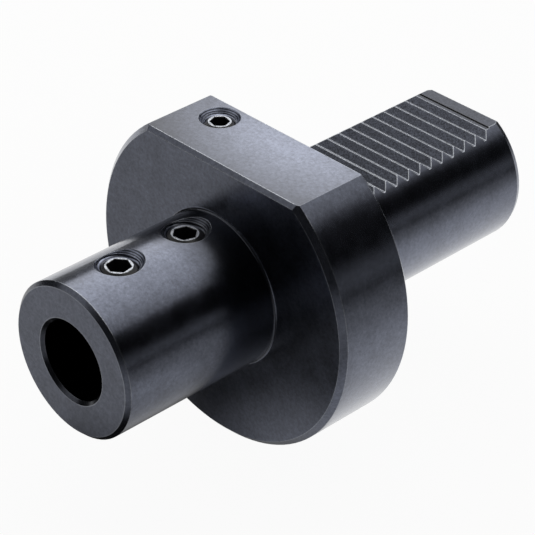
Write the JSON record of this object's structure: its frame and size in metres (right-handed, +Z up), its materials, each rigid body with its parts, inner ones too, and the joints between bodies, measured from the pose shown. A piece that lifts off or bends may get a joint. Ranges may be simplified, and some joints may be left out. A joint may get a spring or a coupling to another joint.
{
  "type": "vdi tool holder",
  "caption": "Static lathe tool holder: toothed cylindrical shank, round flange with one milled flat, and a bored nose that clamps a round drill shank with set screws.",
  "frame": {"origin": "on the shank's axis, in the flange's back face, which seats on the turret", "axes": "+Y along the shank into the turret, the nose points to -Y; +Z up, towards the milled flat and the toothing; +X to the right, seen from the nose"},
  "size_m": [0.083, 0.13, 0.0745],
  "materials": {
    "holder_steel": "black oxide on machined steel",
    "screw_steel": "black oxide on quenched steel",
    "seal_rubber": "matt"
  },
  "bodies": {
    "holder": {"holder_body": "holder_steel", "coolant_plug": "screw_steel", "flange_seal": "seal_rubber"},
    "front_screw": {"clamp_screw_front": "screw_steel"},
    "rear_screw": {"clamp_screw_rear": "screw_steel"}
  },
  "joints": [
    {"name": "front_clamp", "type": "slide", "parent": "holder", "child": "front_screw", "axis": [0, 0, 1], "range_m": [-0.003, 0.0015]},
    {"name": "rear_clamp", "type": "slide", "parent": "holder", "child": "rear_screw", "axis": [0, 0, 1], "range_m": [-0.003, 0.0015]}
  ]
}
